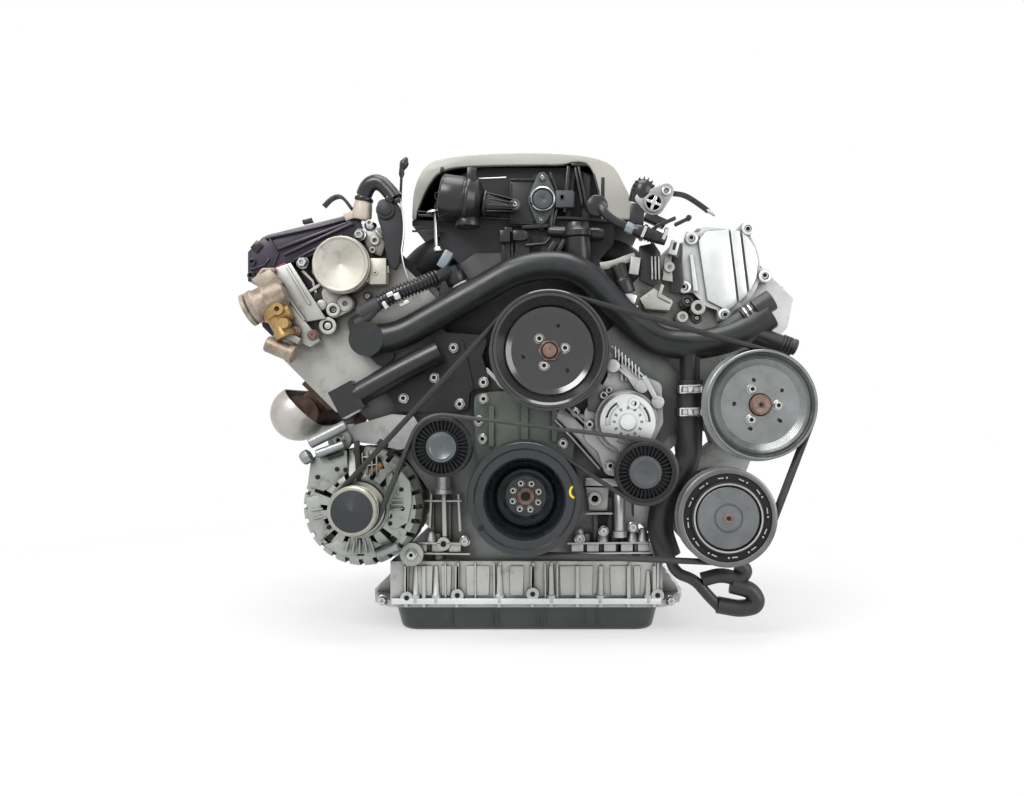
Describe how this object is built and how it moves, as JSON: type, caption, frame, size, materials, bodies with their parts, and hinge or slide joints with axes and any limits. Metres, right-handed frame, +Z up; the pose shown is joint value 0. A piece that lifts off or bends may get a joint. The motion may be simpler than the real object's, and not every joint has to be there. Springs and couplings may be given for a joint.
{
  "type": "V-engine with accessory drive",
  "caption": "V-engine with a ribbed belt drive to its water pump, steering pump, compressor and alternator, with intake manifold, cam covers, chain case and oil pan.",
  "frame": {"origin": "centre of the crankshaft's rear flange face", "axes": "+Y along the crankshaft towards the gearbox, +X to the right as seen from the belt side, +Z up"},
  "size_m": [0.6546, 0.452, 0.572],
  "materials": {
    "beige_cover": "warm light grey moulding",
    "belt_rubber": "worn black rubber",
    "black_gloss": "smooth black moulding",
    "black_plastic": "moulded black plastic with a fine grain",
    "black_steel": "steel with thin black coat",
    "brown_iron": "iron with a thin brown film of rust",
    "cast_aluminium": "as-cast light grey aluminium, slightly rough",
    "cast_iron": "dark grey iron, machined where it runs",
    "clamp_steel": "bright spring steel",
    "copper_winding": "lacquered winding wire and steel sheets",
    "grey_green": "grey-green cast cover",
    "hose_rubber": "smooth black rubber",
    "machined_steel": "turned and ground steel",
    "shield_steel": "pressed heat-stained steel sheet",
    "zinc_bolt": "zinc plated bolt steel"
  },
  "bodies": {
    "engine": {"accessory_bracket": "cast_aluminium", "air_valve": "brown_iron", "alternator_bracket": "cast_aluminium", "alternator_front_frame": "cast_aluminium", "alternator_rear_frame": "cast_aluminium", "alternator_stator": "copper_winding", "bearing_ladder": "cast_aluminium", "breather_valve": "black_plastic", "cam_cover_left": "cast_aluminium", "cam_cover_right": "cast_aluminium", "cam_end_plate": "cast_aluminium", "compressor_body": "cast_aluminium", "coolant_hose": "hose_rubber", "coolant_pipe": "black_gloss", "cover_bolts": "zinc_bolt", "cylinder_block": "cast_aluminium", "cylinder_head_left": "cast_aluminium", "cylinder_head_right": "cast_aluminium", "engine_cover": "beige_cover", "exhaust_manifolds": "brown_iron", "front_cover": "grey_green", "harness_bracket": "black_plastic", "heat_shield": "shield_steel", "heater_pipe": "black_gloss", "hose_clamps": "clamp_steel", "idler_pin": "zinc_bolt", "intake_manifold": "black_plastic", "left_front_cover": "black_plastic", "oil_pan_lower": "black_steel", "oil_pan_upper": "cast_aluminium", "oil_seals": "belt_rubber", "pistons": "cast_aluminium", "rear_chain_case": "cast_aluminium", "runner_actuator": "black_gloss", "serpentine_belt": "belt_rubber", "side_bracket": "cast_aluminium", "steering_pump": "cast_aluminium", "tensioner_housing": "cast_aluminium", "vacuum_pump": "cast_aluminium", "water_pump_housing": "cast_aluminium"},
    "crank": {"crankshaft": "machined_steel", "crank_pulley": "black_steel", "crank_pulley_bolts": "zinc_bolt"},
    "pump_rotor": {"water_pump_pulley": "black_gloss", "water_pump_shaft": "machined_steel", "pump_pulley_bolts": "zinc_bolt"},
    "steering_rotor": {"steering_pulley": "machined_steel", "steering_shaft": "machined_steel", "steering_pulley_bolts": "zinc_bolt"},
    "compressor_rotor": {"compressor_pulley": "machined_steel", "compressor_hub": "black_steel"},
    "alternator_spool": {"alternator_pulley": "machined_steel", "alternator_rotor": "cast_iron"},
    "idler": {"idler_roller": "black_gloss"},
    "tensioner": {"tensioner_arm": "cast_aluminium"},
    "tension_roller": {"tensioner_roller": "black_gloss"},
    "cam_left_inlet": {"camshaft_left_inlet": "machined_steel"},
    "cam_left_exhaust": {"camshaft_left_exhaust": "machined_steel"},
    "cam_right_inlet": {"camshaft_right_inlet": "machined_steel"},
    "cam_right_exhaust": {"camshaft_right_exhaust": "machined_steel"}
  },
  "joints": [
    {"name": "crank_spin", "type": "hinge", "parent": "engine", "child": "crank", "pos_m": [0, -0.43, 0], "axis": [0, 1, 0], "continuous": true},
    {"name": "pump_spin", "type": "hinge", "parent": "engine", "child": "pump_rotor", "pos_m": [0.0273, -0.43, 0.1666], "axis": [0, 1, 0], "continuous": true},
    {"name": "steering_spin", "type": "hinge", "parent": "engine", "child": "steering_rotor", "pos_m": [0.2632, -0.43, 0.1048], "axis": [0, 1, 0], "continuous": true},
    {"name": "compressor_spin", "type": "hinge", "parent": "engine", "child": "compressor_rotor", "pos_m": [0.2246, -0.43, -0.0203], "axis": [0, 1, 0], "continuous": true},
    {"name": "alternator_spin", "type": "hinge", "parent": "engine", "child": "alternator_spool", "pos_m": [-0.1898, -0.43, -0.0128], "axis": [0, 1, 0], "continuous": true},
    {"name": "idler_spin", "type": "hinge", "parent": "engine", "child": "idler", "pos_m": [-0.0922, -0.43, 0.0578], "axis": [0, 1, 0], "continuous": true},
    {"name": "tensioner_swing", "type": "hinge", "parent": "engine", "child": "tensioner", "pos_m": [0.1164, -0.43, 0.0854], "axis": [0, 1, 0], "range_deg": [-10, 16], "stiffness_Nm_per_rad": 12, "deforming": ["serpentine_belt"]},
    {"name": "tension_roller_spin", "type": "hinge", "parent": "tensioner", "child": "tension_roller", "pos_m": [0.13371, -0.43, 0.02983], "axis": [0, 1, 0], "continuous": true},
    {"name": "cam_left_inlet_spin", "type": "hinge", "parent": "engine", "child": "cam_left_inlet", "pos_m": [-0.1888, -0.43, 0.25527], "axis": [0, 1, 0], "continuous": true},
    {"name": "cam_left_exhaust_spin", "type": "hinge", "parent": "engine", "child": "cam_left_exhaust", "pos_m": [-0.25527, -0.43, 0.1888], "axis": [0, 1, 0], "continuous": true},
    {"name": "cam_right_inlet_spin", "type": "hinge", "parent": "engine", "child": "cam_right_inlet", "pos_m": [0.1888, -0.43, 0.25527], "axis": [0, 1, 0], "continuous": true},
    {"name": "cam_right_exhaust_spin", "type": "hinge", "parent": "engine", "child": "cam_right_exhaust", "pos_m": [0.25527, -0.43, 0.1888], "axis": [0, 1, 0], "continuous": true}
  ],
  "couplings": [
    {"joint": "pump_spin", "follows": "crank_spin", "ratio": 0.96183},
    {"joint": "steering_spin", "follows": "crank_spin", "ratio": 1.0328},
    {"joint": "compressor_spin", "follows": "crank_spin", "ratio": 1.2},
    {"joint": "alternator_spin", "follows": "crank_spin", "ratio": 2.2909},
    {"joint": "idler_spin", "follows": "crank_spin", "ratio": -1.8052},
    {"joint": "tension_roller_spin", "follows": "crank_spin", "ratio": -1.8052},
    {"joint": "cam_left_inlet_spin", "follows": "crank_spin", "ratio": 0.5},
    {"joint": "cam_left_exhaust_spin", "follows": "crank_spin", "ratio": 0.5},
    {"joint": "cam_right_inlet_spin", "follows": "crank_spin", "ratio": 0.5},
    {"joint": "cam_right_exhaust_spin", "follows": "crank_spin", "ratio": 0.5}
  ]
}
